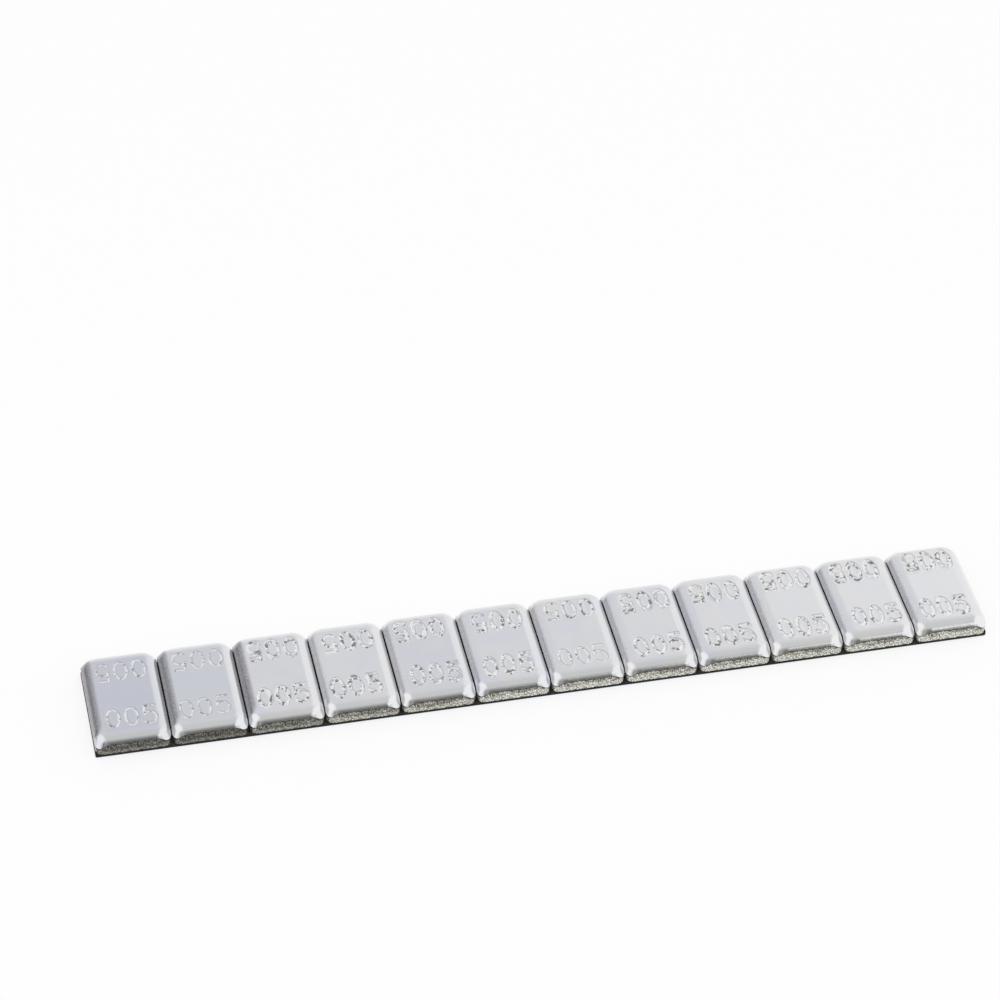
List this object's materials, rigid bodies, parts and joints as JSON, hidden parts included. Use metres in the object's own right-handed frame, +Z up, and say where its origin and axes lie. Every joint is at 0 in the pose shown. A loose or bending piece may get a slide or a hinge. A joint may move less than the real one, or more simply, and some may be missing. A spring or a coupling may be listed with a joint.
{
  "type": "wheel balance weight",
  "caption": "Flat strip of rounded, zinc-plated steel balance weights on black foam tape with a blue release liner, stuck inside a wheel rim to balance it.",
  "frame": {"origin": "middle of the underside of the release liner", "axes": "+X along the strip, +Y across it, +Z up, out of the stamped faces of the weights"},
  "size_m": [0.1414, 0.0184, 0.0041],
  "materials": {
    "steel": "bright zinc plate, satin with tumbling marks",
    "foam": "closed-cell foam, matt, cut edge",
    "liner": "thin smooth film"
  },
  "bodies": {
    "root": {"weight_01": "steel", "weight_02": "steel", "weight_03": "steel", "weight_04": "steel", "weight_05": "steel", "weight_06": "steel", "weight_07": "steel", "weight_08": "steel", "weight_09": "steel", "weight_10": "steel", "weight_11": "steel", "weight_12": "steel", "foam_tape": "foam", "release_liner": "liner"}
  },
  "joints": []
}
